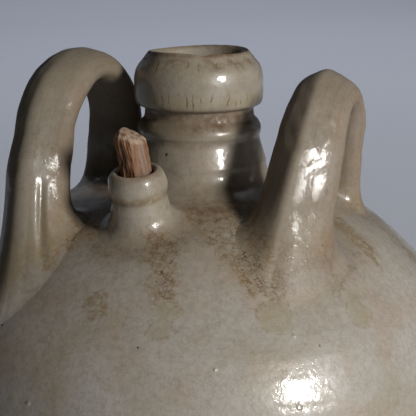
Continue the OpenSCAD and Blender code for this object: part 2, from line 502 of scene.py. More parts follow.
    def streaks(
        self, mix: Recipe, colour: bpy.types.NodeSocket, mottle: bpy.types.NodeSocket
    ) -> bpy.types.NodeSocket:
        """Lays the pulled streaks of a strap, and the clay that shows where the glaze is thin.

        Args:
            mix: The material.
            colour: Colour so far.
            mottle: The glaze's finest blotches.

        Returns:
            The colour.
        """
        if self.strap_streaks:
            mapped = mix.node("Mapping", {"Vector": mix.surface, "Scale": (1.0, 0.06, 1.0)})
            stretched = mapped.outputs["Vector"]
            streak = mix.noise(2.2, 3.0, 0.6, stretched)
            drawn = mix.spread(streak, 0.45, 0.75, 0.0, self.strap_streaks)
            colour = mix.blend(mix.maths("MULTIPLY", drawn, mix.mark("pulled")), colour, self.streaked)
            worn = mix.spread(streak, 0.3, 0.7, 0.35, 1.0)
        else:
            worn = mix.spread(mottle, 0.3, 0.7, 0.4, 1.0)
        thin = mix.maths("MULTIPLY", mix.mark("thin"), worn)
        return mix.blend(mix.maths("MULTIPLY", thin, 0.7), colour, self.clay)

    def crack_net(self, mix: Recipe, bent: bpy.types.NodeSocket) -> bpy.types.NodeSocket:
        """Stained cracks: a coarse net, a fine one, rusty dots, and upright lines where it is crazed.

        Args:
            mix: The material.
            bent: Coordinates that make the lines waver.

        Returns:
            How much of the rust shows.
        """

        def cracks(cell_mm: float, width: float) -> bpy.types.NodeSocket:
            """Thin lines between cells of one size."""
            edge = mix.cells(cell_mm, bent, 0.9, feature="DISTANCE_TO_EDGE").outputs["Distance"]
            return mix.spread(edge, 0.0, width, 1.0, 0.0)

        crackle = mix.mark("crackle")
        broken = mix.spread(mix.noise(5.0, 3.0, 0.6), 0.42, 0.62, 0.1, 1.0)
        coarse = mix.maths("MULTIPLY", cracks(self.crack_cell_mm, 0.06), broken)
        patches = mix.spread(mix.noise(8.0, 3.0, 0.6), 0.46, 0.6)
        fine = mix.maths("MULTIPLY", cracks(self.fine_cell_mm, 0.1), patches)
        lines = mix.maths("MAXIMUM", coarse, mix.maths("MULTIPLY", fine, 0.85))
        net = mix.maths("MULTIPLY", lines, mix.maths("MAXIMUM", crackle, 0.22))
        dotted = mix.maths("MULTIPLY", crackle, mix.spread(mix.noise(1.5, 2.0, 0.6), 0.62, 0.7))
        rusty = mix.maths("MULTIPLY", dotted, mix.spread(mix.noise(7.0, 2.0), 0.45, 0.6))
        net = mix.maths("MAXIMUM", net, rusty)
        if not self.craze_lines:
            return net
        reach = self.craze_wobble_mm * MM
        wobble = mix.spread(mix.noise(8.0, 3.0), 0.2, 0.8, -reach, reach)
        round_it = mix.node("SeparateXYZ", {0: mix.surface}).outputs["X"]
        shifted = mix.node("Math", {0: round_it, 1: wobble}, operation="ADD").outputs[0]
        line = mix.node(
            "TexVoronoi", {"W": shifted, "Scale": 1 / (self.craze_gap_mm * MM), "Randomness": 1.0},
            feature="DISTANCE_TO_EDGE", voronoi_dimensions="1D",
        ).outputs["Distance"]
        taken = mix.spread(mix.noise(6.0, 3.0, 0.6), 0.45, 0.6, 0.12, 1.0)
        upright = mix.maths("MULTIPLY", mix.spread(line, 0.0, 0.12, 1.0, 0.0), taken)
        upright = mix.maths("MULTIPLY", upright, mix.mark("craze"))
        return mix.maths("MAXIMUM", net, mix.maths("MULTIPLY", upright, self.craze_lines))


@dataclass(frozen=True)
class BareStoneware:
    """Iron-bearing stoneware, wiped free of glaze and fired: a matt, gritty brown grey."""

    name: str = "bare_fired_stoneware"
    light: str = "#86705a"
    dark: str = "#5a4636"
    freckle: str = "#3a2c22"
    sand: str = "#8d7a66"
    quartz: str = "#b09c86"
    flame_mm: float = 30.0
    grit_mm: float = 1.4

    def material(self) -> bpy.types.Material:
        """Builds the material, reading object coordinates."""
        mix = Recipe(self.name)
        flame = mix.noise(self.flame_mm, 5.0, 0.5)
        grit = mix.noise(self.grit_mm, 4.0, 0.75)
        ground = mix.ramp(flame, (0.3, self.dark), (0.7, self.light))
        freckled = mix.ramp(grit, (0.3, self.freckle), (0.45, self.sand), (0.8, self.quartz))
        colour = mix.blend(0.4, ground, freckled)
        gritty = mix.bump(grit, 0.25)
        return mix.finished({"Base Color": colour, "Roughness": 0.85, "IOR": 1.5, "Normal": gritty})


@dataclass(frozen=True)
class PegWood:
    """Coarse softwood whittled with a knife and never varnished.

    It gives the eye a pinkish tan with long orange-brown grain and dark checks, greyer where the weather
    reached it and paler with painted light on the cuts that face the window, and a chalky cut end. The peg
    carries marks that say where it is pale with weather and painted light, where it was cut across, and
    where dirt has settled.
    """

    name: str = "whittled_softwood"
    pale: str = "#8a6746"
    warm: str = "#844a1f"
    dark: str = "#2a150a"
    heartwood: str = "#6e3f20"
    sapwood: str = "#957b66"
    weathered_and_lit: str = "#8f7869"
    chalky: str = "#b3a08c"
    dirt: str = "#2c1a10"
    grain_mm: float = 1.5
    grain_length: float = 6.25

    def material(self) -> bpy.types.Material:
        """Builds the material. The grain is noise in object coordinates, drawn out along the peg."""
        mix = Recipe(self.name)
        drawn_out = (1.0, 1.0, 1 / self.grain_length)
        along = mix.node("Mapping", {"Vector": mix.place, "Scale": drawn_out}).outputs["Vector"]
        grain = mix.noise(self.grain_mm, 4.0, 0.7, along, Distortion=0.4)
        broad = mix.noise(5.0, 2.0, 0.5, along)
        crumb = mix.noise(1.1, 4.0, 0.75)
        colour = mix.ramp(grain, (0.32, self.dark), (0.43, self.warm), (0.6, self.pale))
        colour = mix.blend(0.35, colour, mix.ramp(broad, (0.35, self.heartwood), (0.65, self.sapwood)))
        faded = mix.spread(broad, 0.4, 0.62, 0.25, 0.95, "LINEAR")
        # Weathering with painted light: the cuts that face the window are mixed paler and greyer.
        colour = mix.blend(mix.maths("MULTIPLY", mix.mark("pale"), faded), colour, self.weathered_and_lit)
        dusty = mix.spread(crumb, 0.35, 0.6, 0.2, 0.95, "LINEAR")
        colour = mix.blend(mix.maths("MULTIPLY", mix.mark("thin"), dusty), colour, self.chalky)
        colour = mix.blend(mix.mark("stain"), colour, self.dirt)
        normal = mix.bump(crumb, 0.5, mix.bump(grain, 0.7))
        return mix.finished({"Base Color": colour, "Roughness": 0.78, "IOR": 1.45, "Normal": normal})


# --- the thrown body -----------------------------------------------------------------------------


@dataclass(frozen=True)
class Run:
    """A run of thick glaze down the shoulder, crackled along its length and pooled at its end.

    Attributes:
        start: Azimuth in degrees from the spout's side towards +X, and radius, where it begins.
        end: The same, where it ends.
        width: Half width in millimetres.
        strength: How strongly the crackle in it is stained.
        drop: Strength of the olive pool at its end.
    """

    start: tuple[float, float]
    end: tuple[float, float]
    width: float
    strength: float
    drop: float


FRONT_RUNS = (
    Run((13, 84), (17, 116), 9, 1.0, 0.9),
    Run((34, 62), (44, 116), 12, 1.0, 0.9),
    Run((26, 58), (34, 88), 12, 0.9, 0.0),
    Run((44, 60), (58, 94), 9, 0.7, 0.0),
    Run((60, 88), (65, 120), 9, 0.45, 0.8),
    Run((-2, 92), (0, 112), 8, 0.35, 0.3),
)


@dataclass
class Body:
    """The round body: one outline, thrown as a lower and an upper half on a floor disc.

    Attributes:
        belly_r: Largest radius.
        belly_z: Height of the widest place.
        crown_z: Height of the shoulder's crown.
        floor_z: Height where the wall leaves the floor disc.
        wall: Wall thickness.
        lower_shares: Outline below the belly, as shares of its radius and height.
        upper_shares: Outline above the belly, as shares of its radius and of the rise to the crown.
        swelling_at: Middle of a slight swelling that the potter's hand left in the belly.
        columns: Points round each row.
        span_steps: Rows in each span of the outline.
        luted: Places on the shoulder where the spout and the straps are luted on.
        outline: Radius and height of each row, from the foot up to the crown.
        normals: Outward normal of each row.
        runs: Runs of thick glaze down the shoulder.
        belly_row: Row of the outline at the belly.
        seam_row: Row of the outline where the wall leaves the floor disc.
    """

    belly_r: float
    belly_z: float
    crown_z: float
    floor_z: float
    wall: float = 8.0
    lower_shares: tuple = (
        (0.583, 0), (0.615, 0.065), (0.715, 0.2), (0.84, 0.38), (0.94, 0.59), (0.99, 0.79),
    )
    upper_shares: tuple = (
        (1, 0), (0.985, 0.15), (0.95, 0.3), (0.89, 0.46), (0.79, 0.62), (0.7, 0.74),
        (0.6, 0.84), (0.5, 0.91), (0.4, 0.96), (0.3, 0.99), (0.17, 1),
    )
    swelling_at: tuple[float, float, float] = (132.0, -68.0, 166.0)
    columns: int = 384
    span_steps: int = 16
    luted: list[np.ndarray] = field(default_factory=list)
    outline: np.ndarray = field(init=False)
    normals: np.ndarray = field(init=False)
    runs: list[Run] = field(init=False)
    belly_row: int = field(init=False)
    seam_row: int = field(init=False)

    def __post_init__(self) -> None:
        """Works out the outline and its normals, and scatters more runs over the sides and the back."""
        rise = self.crown_z - self.belly_z
        points = [(r * self.belly_r, z * self.belly_z) for r, z in self.lower_shares]
        points += [(r * self.belly_r, self.belly_z + z * rise) for r, z in self.upper_shares]
        self.outline = smooth_curve(points, self.span_steps)
        along = unit(np.gradient(self.outline, axis=0))
        self.normals = np.stack([along[:, 1], -along[:, 0]], -1)
        self.belly_row = len(self.lower_shares) * self.span_steps
        row_at_floor = np.interp(self.floor_z, self.outline[:, 1], np.arange(len(self.outline)))
        self.seam_row = int(round(row_at_floor))
        rng = np.random.default_rng(11)
        self.runs = list(FRONT_RUNS)
        for azimuth in np.arange(92, 335, 22):
            turn, start, length = azimuth + rng.uniform(-8, 8), rng.uniform(60, 80), rng.uniform(25, 55)
            self.runs.append(
                Run((turn, start), (turn + rng.uniform(-4, 6), start + length), rng.uniform(6, 11),
                    rng.uniform(0.3, 0.9), rng.uniform(0, 0.8))
            )

    def dents(self, points: np.ndarray) -> np.ndarray:
        """Unevenness of the thrown wall, outwards: slow hand dents and faint throwing rings.

        Args:
            points: Positions on the smooth outline.

        Returns:
            Distance that each point stands proud, which fades out under the neck.
        """
        reach = np.hypot(points[..., 0], points[..., 1])
        slow = 0.75 * ripple(points, 170.0, 3) + 0.28 * ripple(points, 60.0, 4)
        wander = 2.2 * ripple(points, 120.0, 5)
        rings = 0.04 * np.sin((points[..., 2] + wander) * TAU / 9.0) + 0.02 * np.sin(
            (points[..., 2] - wander) * TAU / 4.3
        )
        swelling = 1.5 * np.exp(-(np.linalg.norm(points - self.swelling_at, axis=-1) / 44) ** 2)
        return (slow + rings + swelling) * ease(40, 75, reach)

    def wall_rows(self, first: int, last: int) -> np.ndarray:
        """Closed rows of the wall between two rows of the outline, outer face then inner face."""
        outer, _ = turned(self.outline[first : last + 1], self.columns)
        normal, _ = turned(self.normals[first : last + 1], self.columns)
        outer = outer + normal * self.dents(outer)[..., None]
        inner_line = (self.outline - self.wall * self.normals)[first : last + 1 : 4][::-1]
        inner, _ = turned(inner_line, self.columns)
        return np.concatenate([outer, inner])

    def height(self, points: np.ndarray) -> np.ndarray:
        """Height of the shoulder's surface above or below the given positions."""
        line = self.outline[self.belly_row :][::-1]
        normal = self.normals[self.belly_row :][::-1]
        reach = np.hypot(points[..., 0], points[..., 1])
        z = np.interp(reach, line[:, 0], line[:, 1])
        lift = np.interp(reach, line[:, 0], normal[:, 1])
        smooth = np.concatenate([points[..., :2], z[..., None]], -1)
        return z + self.dents(smooth) / np.maximum(lift, 0.3)

    def snap(self, points: np.ndarray, sink: float = 0.0) -> np.ndarray:
        """Positions moved straight up or down onto the shoulder, less a depth."""
        z = self.height(points) - sink
        return np.concatenate([points[..., :2], z[..., None]], -1)

    def drop(self, points: np.ndarray, direction: np.ndarray) -> np.ndarray:
        """Where straight lines from the points along a direction meet the shoulder, by halving."""
        low, high = np.zeros(len(points)), np.full(len(points), 120.0)
        for _ in range(30):
            middle = (low + high) / 2
            at = points + middle[:, None] * direction
            above = at[:, 2] > self.height(at)
            low, high = np.where(above, middle, low), np.where(above, high, middle)
        return points + low[:, None] * direction

    def skirt(
        self, ring: np.ndarray, direction: np.ndarray, reach: np.ndarray, rows: int = 20
    ) -> np.ndarray:
        """Rows that carry a ring of clay smoothly down onto the shoulder and out along it.

        Seen from above, each column is a quadratic curve from the ring, pulled towards the place
        where the ring's own line meets the shoulder, to a rim further out. Its height above the
        shoulder falls with the square of the way left, so it meets the shoulder without a crease. A
        last row is tucked under the surface.

        Args:
            ring: Closed ring of points above the shoulder.
            direction: Unit direction from the ring towards the shoulder.
            reach: How far the rim spreads beyond the ring, for each point.
            rows: Number of rows down the curve.

        Returns:
            The rows, starting just below the ring.
        """
        corner = self.drop(ring, direction)
        outwards = corner - corner.mean(0)
        outwards[:, 2] = 0
        rim = corner + unit(outwards) * reach[:, None]
        t = (np.arange(1, rows + 1) / rows)[:, None, None]
        curve = (1 - t) ** 2 * ring + 2 * t * (1 - t) * corner + t**2 * rim
        above = ring[:, 2] - self.height(ring)
        curve[..., 2] = self.height(curve) + above * (1 - t[..., 0]) ** 2 - 0.35 * ease(0.7, 1, t[..., 0])
        tucked = self.snap(rim + unit(outwards) * 0.2, 2.0)
        return np.concatenate([curve, tucked[None]])

    def glaze_marks(self, points: np.ndarray) -> dict[str, np.ndarray]:
        """Marks on the shoulder: stain round what is luted on, crackled runs, and pools at their ends.

        Args:
            points: Positions on the shoulder.

        Returns:
            The marks, by name.
        """
        reach = np.hypot(points[..., 0], points[..., 1])
        azimuth = np.degrees(np.arctan2(points[..., 0], -points[..., 1]))
        crackle = np.zeros(reach.shape)
        pool = np.zeros(reach.shape)
        edge = 2.5 * ripple(points, 14.0, 21)
        for run in self.runs:
            share = np.clip((reach - run.start[1]) / (run.end[1] - run.start[1]), 0, 1)
            middle = run.start[0] + share * (run.end[0] - run.start[0])
            aside = np.radians((azimuth - middle + 180) % 360 - 180) * reach + edge
            inside = ease(run.start[1] - 10, run.start[1], reach)
            inside = inside * ease(run.end[1] + 6, run.end[1] - 6, reach)
            flow = run.strength * hump(aside, 0, run.width) * inside
            crackle = np.maximum(crackle, flow)
            beyond = reach - run.end[1] - 5
            drop = 1 - ease(0.75, 1.1, np.hypot(aside / (run.width * 0.8), beyond / 7.5))
            pool = np.maximum.reduce([pool, run.drop * drop, 0.45 * flow])
        patchy = ease(-0.6, 0.9, ripple(points, 48.0, 22))
        front_right = hump(azimuth, 40, 32)
        patchy = np.maximum(patchy, front_right)
        stain = 0.7 * hump(reach, 55, 9) * patchy + 0.25 * hump(reach, 66, 12) * front_right
        crackle = np.maximum(crackle, 1.0 * hump(reach, 60, 12) * patchy)
        tone = 0.7 * ease(82, 54, reach) * (0.5 + 0.5 * patchy)
        for place in self.luted:
            away = np.linalg.norm(points - place, axis=-1)
            stain = np.maximum(stain, 0.4 * hump(away, 28, 8) * patchy)
            crackle = np.maximum(crackle, 0.6 * hump(away, 31, 9) * patchy)
            tone = np.maximum(tone, 0.6 * ease(44, 22, away))
        return {"stain": stain, "crackle": crackle, "pool": pool, "tone": tone}

    def merged(
        self, rows: np.ndarray, own: dict[str, np.ndarray], rise: float = 12.0
    ) -> dict[str, np.ndarray]:
        """Marks of a piece that stands on the shoulder, which become the shoulder's own at its rim.

        Args:
            rows: Points of the piece.
            own: The piece's marks.
            rise: Height above the shoulder from which only the piece's marks count.

        Returns:
            The mixed marks.
        """
        above = ease(0.0, rise, rows[..., 2] - self.height(rows))
        under = self.glaze_marks(self.snap(rows))
        return {
            key: own.get(key, 0.0) * above + under.get(key, 0.0) * (1 - above) for key in {*own, *under}
        }

    def floor_disc(self) -> bpy.types.Object:
        """Floor disc with a foot ring, its outer face following the body's outline."""
        edge = self.outline[: self.seam_row + 1]
        foot_r = edge[0, 0]
        ring_in, recess, floor_top = foot_r - 14, 3.0, 12.0
        under = smooth_curve(
            [(1, recess), (ring_in - 6, recess), (ring_in, recess - 0.5), (ring_in + 2.2, 0.6),
             (ring_in + 4, 0), (foot_r - 3, 0), (foot_r - 0.6, 0.8)], 8)
        inside = self.outline[self.seam_row] - self.wall * self.normals[self.seam_row]
        top = smooth_curve([inside, (inside[0] - self.wall, floor_top), (1, floor_top)], 6)
        profile = np.vstack([under, edge[3:], top])
        rows, _ = turned(profile, 192)
        return grid_object("foot_disc", rows, Ends.CAPPED)

    def lower_half(self) -> bpy.types.Object:
        """Lower thrown half, from the floor disc to the belly."""
        rows = self.wall_rows(self.seam_row, self.belly_row)
        glaze_line = rows[..., 2] + 3 * ripple(rows, 40.0, 31)
        marks = {"thin": ease(self.floor_z + 16, self.floor_z, glaze_line)}
        return grid_object("lower_thrown_wall", rows, Ends.JOINED, marks)

    def upper_half(self) -> bpy.types.Object:
        """Upper thrown half, from the belly to the crown."""
        rows = self.wall_rows(self.belly_row, len(self.outline) - 1)
        return grid_object("thrown_shoulder", rows, Ends.JOINED, self.glaze_marks(rows))


@dataclass
class Neck:
    """The neck: flared root, bead, groove and rolled collar round a straight bore.

    Attributes:
        body: The body that it is luted onto.
        rim_z: Height of the rim.
        bore_r: Radius of the bore.
        collar_r: Largest radius of the collar.
        columns: Points round each row.
        skirt_reach: How far its root spreads over the shoulder.
    """

    body: Body
    rim_z: float
    bore_r: float
    collar_r: float
    columns: int = 288
    skirt_reach: float = 18.0

    def build(self) -> bpy.types.Object:
        """Makes the neck: bore up to the rim, down the outside, and out over the shoulder."""
        rim, crown, collar = self.rim_z, self.body.crown_z, self.collar_r
        inside = smooth_curve(
            [(self.bore_r, crown - 8), (self.bore_r, crown + 10), (self.bore_r, rim - 30),
             (self.bore_r, rim - 9),
             (self.bore_r + 1.6, rim - 2.2), (26.2, rim - 0.2)], 14)
        rolled = smooth_curve(
            [(26.2, rim - 0.2), (27.3, rim - 0.15), (30, rim - 3.9), (collar - 1.8, rim - 9),
             (collar - 0.2, rim - 14.5), (collar, rim - 20.5), (collar - 0.4, rim - 26.5),
             (collar - 1.3, rim - 29.4), (collar - 3, rim - 30.6), (30.2, rim - 31.6),
             (29.7, rim - 33.5)], 14)
        stem = smooth_curve(
            [(29.7, rim - 33.5), (30.3, crown + 37), (32.4, crown + 34.6), (33.9, crown + 31.6),
             (34, crown + 29), (33.3, crown + 26.6), (33.6, crown + 24), (34.9, crown + 19.5),
             (36.9, crown + 13)], 12)
        profile = np.vstack([inside, rolled[1:], stem[1:]])
        rows, azimuth = turned(profile, self.columns)
        outside = ease(self.bore_r, self.bore_r + 4, profile[:, 0])[:, None]
        lean_in = unit(rows * np.array([1, 1, 0]))
        uneven = 0.28 * ripple(rows, 55.0, 41) + 0.10 * ripple(rows, 16.0, 42)
        rows = rows + lean_in * (uneven * outside)[..., None]
        near_rim = ease(rim - 14, rim - 1, profile[:, 1])[:, None]
        dip = 0.7 * np.cos(azimuth - math.radians(28)) + 0.55 * np.cos(2 * azimuth + 0.4) - 0.9
        chip = 0.9 * hump((azimuth - math.radians(30) + math.pi) % TAU - math.pi, 0, 0.16)
        rows[..., 2] += near_rim * (dip - chip)[None]
        skirt = self.body.skirt(rows[-1], -UP, np.full(self.columns, self.skirt_reach))
        floor = rows[:1] * np.array([1.3, 1.3, 1.0]) - 2 * UP
        rows = np.concatenate([rows, skirt, floor])
        return grid_object("collared_neck", rows, Ends.JOINED, self.marks(rows))

    def marks(self, rows: np.ndarray) -> dict[str, np.ndarray]:
        """Stain in the groove, under the bead and at the root, brown stain with painted shadow under the
        collar, and craze lines on the collar.

        Args:
            rows: Points of the neck.

        Returns:
            The marks, by name.
        """
        z, reach = rows[..., 2], np.hypot(rows[..., 0], rows[..., 1])
        rim, crown = self.rim_z, self.body.crown_z
        patchy = ease(-0.7, 0.8, ripple(rows, 30.0, 43))
        outside = ease(self.bore_r + 0.5, self.bore_r + 3, reach)
        stain = np.maximum.reduce([
            # The first two bands are brown stain with painted shadow under the collar.
            1.0 * hump(z, rim - 34.0, 3.2),
            1.0 * hump(z, crown + 37.0, 4.6) * (0.5 + 0.5 * patchy),
            0.55 * hump(z, crown + 25.5, 2.2) * (0.5 + 0.5 * patchy),
            0.3 * hump(z, crown + 14.0, 9.0) * patchy,
            0.9 * hump(z, crown + 0.5, 5.0) * (0.3 + 0.7 * patchy),
            1.0 * hump(z, rim - 1.0, 1.3) * (0.6 + 0.4 * patchy),
            0.8 * hump(z, rim - 4.6, 2.4) * ease(-0.2, 0.7, ripple(rows, 9.0, 44)),
        ]) * outside
        crackle = np.maximum.reduce([
            0.8 * hump(z, crown + 36.0, 4.5) * patchy,
            0.6 * hump(z, rim - 6.0, 3.5) * patchy,
            0.5 * hump(z, rim - 26.0, 3.5) * patchy,
            0.9 * hump(z, crown + 1.0, 6.0),
            0.35 * hump(z, crown + 16.0, 8.0) * patchy,
        ]) * outside
        craze = np.maximum(1.1 * hump(z, rim - 25.5, 4.6), hump(z, rim - 6.5, 3.6)) * outside
        thin = 0.55 * hump(z, rim - 0.6, 1.4) + 0.35 * hump(z, rim - 30.4, 1.0)
        pool = (0.8 * hump(z, rim - 25.5, 4) + 0.6 * hump(z, rim - 6, 4)) * outside
        # Deeper tone, partly painted shadow, on the stem under the collar.
        tone = 0.4 + 0.5 * hump(z, crown + 34, 7) * outside
        own = {"stain": stain, "crackle": crackle, "craze": craze, "thin": thin, "pool": pool, "tone": tone}
        return self.body.merged(rows, own)


@dataclass
class SpoutAxis:
    """The line that the spout and its peg share.

    Attributes:
        root: Point of the line at the spout's root.
        axis: Unit direction out of the spout.
    """

    root: np.ndarray
    axis: np.ndarray

    def turned(self, profile: np.ndarray, columns: int) -> np.ndarray:
        """Turns a profile round the line.

        Args:
            profile: Radius and height of each row.
            columns: Points round each row.

        Returns:
            The grid of points.
        """
        side = np.array([1.0, 0.0, 0.0])
        other = np.cross(self.axis, side)
        angle = np.arange(columns) * TAU / columns
        ring = np.cos(angle)[:, None] * side + np.sin(angle)[:, None] * other
        return self.root + profile[:, None, :1] * ring[None] + profile[:, None, 1:] * self.axis


@dataclass
class Spout:
    """The small pouring spout: rounded lip over a groove, and a cone that spreads onto the shoulder.

    Attributes:
        body: The body that it is luted onto.
        line: The line that it stands round.
        lip_r: Radius of the lip.
        lip_h: Height of the lip along the line.
        hole_r: Radius of the hole at the lip.
        throat_r: Radius of the hole further down.
        columns: Points round each row.
    """

    body: Body
    line: SpoutAxis
    lip_r: float = 15.4
    lip_h: float = 33.5
    hole_r: float = 9.2
    throat_r: float = 7.6
    columns: int = 224

    def build(self) -> bpy.types.Object:
        """Makes the spout: hole up to the lip, down the outside, and out over the shoulder."""
        lip, top = self.lip_r, self.lip_h
        profile = smooth_curve(
            [(self.throat_r, 2), (self.throat_r, 12), (self.throat_r, 19), (self.hole_r - 0.2, top - 4.5),
             (self.hole_r + 0.35, top - 1.6), (lip - 4.4, top - 0.2), (lip - 2.6, top - 0.8),
             (lip - 0.9, top - 3.4),
             (lip, top - 8), (lip - 0.25, top - 11.6), (lip - 1.15, top - 14.2), (lip - 1.0, top - 16.4),
             (lip - 0.1, top - 20)], 12)
        rows = self.line.turned(profile, self.columns)
        centre = self.line.root + profile[:, None, 1:] * self.line.axis
        outside = ease(self.hole_r, self.hole_r + 3, profile[:, 0])[:, None]
        uneven = 0.22 * ripple(rows, 22.0, 51) + 0.12 * ripple(rows, 8.0, 52)
        rows = rows + unit(rows - centre) * (uneven * outside)[..., None]
        rows[..., 2] += 0.35 * ripple(rows, 26.0, 53) * ease(top - 8, top, profile[:, 1])[:, None]
        towards_neck = unit((rows[-1] - centre[-1]) * np.array([1, 1, 0])) @ np.array([0.94, 0.34, 0.0])
        reach = 10 + 9 * np.clip(towards_neck, 0, 1) ** 2 + 1.0 * ripple(rows[-1], 30.0, 54)
        skirt = self.body.skirt(rows[-1], -self.line.axis, reach)
        floor = rows[:1] - 4 * self.line.axis
        rows = np.concatenate([rows, skirt, floor])
        depth = (rows - self.line.root) @ self.line.axis
        aside = np.linalg.norm(rows - self.line.root - depth[..., None] * self.line.axis, axis=-1)
        patchy = ease(-0.8, 0.8, ripple(rows, 16.0, 55))
        inside = 1 - ease(self.hole_r - 0.4, self.hole_r + 0.8, aside)
        stain = np.maximum.reduce([
            inside, 0.55 * hump(depth, top - 14.4, 1.8) * patchy, 0.55 * ease(8, 1, depth) * patchy,
            0.45 * hump(depth, top - 1, 1.5) * patchy,
        ])
        crackle = 0.5 * ease(16, 6, depth) * patchy
        thin = 0.35 * hump(depth, top, 1.2) * (1 - inside)
        own = {"stain": stain, "crackle": crackle, "thin": thin, "pool": 0.3 * hump(depth, top - 12, 4),
               "tone": np.full(depth.shape, 0.5)}
        return grid_object("pouring_spout", rows, Ends.JOINED, self.body.merged(rows, own, 9.0))


@dataclass
class Peg:
    """The wooden peg: whittled to a taper, cut off aslant, its top worn round and its side split.

    Attributes:
        line: The spout's line, which the peg shares.
        foot_h: Height of the peg's end along the line.
        length: Length of the peg.
        lip_h: Height at which the wedged end has grown to the full thickness.
        top_r: Radius of the full thickness.
        end_r: Radius of the wedged end.
        columns: Points round each row.
        cuts: Side that each knife cut faces, in degrees round the line, and how pale it is: weathered, with
            painted light that is strongest on the cuts that face the window.
    """

    line: SpoutAxis
    foot_h: float = 13.0
    length: float = 43.0
    lip_h: float = 31.0
    top_r: float = 8.75
    end_r: float = 6.75
    columns: int = 240
    cuts: tuple = (
        (271, 0.1), (321, 0.9), (11, 0.5), (66, 0.4), (121, 0.7), (171, 0.3), (221, 0.15),
    )

    def build(self) -> bpy.types.Object:
        """Makes the peg from its end up: a taper, flattened by knife cuts and roughened along the grain."""
        low, high = self.foot_h, self.foot_h + self.length
        ends = smooth_curve([(0.6, low), (self.end_r - 1.6, low), (self.end_r - 0.2, low + 1.2)], 6)
        side_h = np.linspace(low + 1.4, high - 4.2, 120)
        side_r = np.interp(side_h, [low, self.lip_h, high - 6], [self.end_r, self.top_r, self.top_r - 0.1])
        top = smooth_curve(
            [(self.top_r - 0.15, high - 4), (self.top_r - 0.6, high - 2.0), (self.top_r - 1.9, high - 0.6),
             (self.top_r - 4.2, high - 0.1), (3.0, high), (0.6, high)], 10)
        profile = np.vstack([ends, np.stack([side_r, side_h], -1), top])
        angle = np.arange(self.columns) * TAU / self.columns
        rows = self.line.turned(profile, self.columns)
        centre = self.line.root + profile[:, None, 1:] * self.line.axis
        rest = rows - centre
        outwards = unit(rest)
        share = profile[:, :1] / self.top_r
        flat = np.zeros((len(profile), self.columns))
        facing = np.full(flat.shape, -1.0)
        tone = np.zeros(flat.shape)
        # Each point takes the tone of the cut it faces most: weathering, with painted light that makes the
        # cuts towards the window paler and those turned away darker.
        for n, (cut, weathered_and_lit) in enumerate(self.cuts):
            turn = math.radians(cut) + 0.05 * np.sin(profile[:, 1:] * 0.13 + n)
            away = np.cos(angle[None] - turn)
            level = 0.93 + 0.015 * math.sin(3.1 * n)
            flat = np.minimum(flat, np.where(away > 0.3, level / np.maximum(away, 0.3) - 1, 0))
            tone = np.where(away > facing, weathered_and_lit, tone)
            facing = np.maximum(facing, away)
        grain = ripple(np.stack(np.broadcast_arrays(
            np.cos(angle)[None] * 9, np.sin(angle)[None] * 9, profile[:, 1:] * 0.09), -1), 2.6, 62)
        fibre = ripple(np.stack(np.broadcast_arrays(
            np.cos(angle)[None] * 9, np.sin(angle)[None] * 9, profile[:, 1:] * 0.2), -1), 1.3, 63)
        split_at = math.radians(244)
        apart = (angle[None] - split_at - 0.03 * np.sin(profile[:, 1:] * 0.8) + math.pi) % TAU - math.pi
        along = hump(profile[:, 1:], low + 25.5, 4.5)
        split = hump(apart, 0, 0.085) * along
        coarse = 0.4 - 0.3 * tone
        depth = flat * self.top_r * 0.95 - coarse * (1 - grain) - 0.4 * coarse * (1 - fibre) - 1.9 * split
        depth = np.maximum(depth, -self.top_r * 0.45) * share
        rows = rows + outwards * depth[..., None]
        sideways = rest @ np.array([0.9, 0.43, 0.0])
        cut_off = 0.36 * np.maximum(sideways + 4.5, 0) + 0.5 * np.maximum(-5.5 - sideways, 0)
        worn = cut_off + 0.35 * (1 - ripple(rows, 6.0, 64))
        rows = rows - (worn * ease(high - 20, high - 2, profile[:, 1:]))[..., None] * self.line.axis
        bend = ease(low + 20, high, profile[:, 1]) ** 1.4
        rows[..., 0] -= 1.1 * bend[:, None]
        # The dark grain shows more on the low-toned cuts turned from the window, which paints in part of
        # their shade.
        stain = np.maximum.reduce([
            1.0 * split, 0.65 * ease(low + 22, low + 17, profile[:, 1:]) + 0 * angle[None],
            (0.95 - 0.8 * tone) * ease(0.0, -1.0, grain), 0.4 * ease(0.0, -1.2, fibre) * (1 - tone),
        ])
        cut_end = ease(high - 3.6, high - 1.8, profile[:, 1:]) * ease(-1.6, 0.4, ripple(rows, 3.0, 65))
        marks = {"stain": stain * (1 - 0.8 * cut_end), "pale": tone, "thin": cut_end}
        return grid_object("wooden_peg", rows, Ends.CAPPED, marks, 180)


class Side(Enum):
    """Which loop a strap makes."""

    LEFT = "left"
    RIGHT = "right"


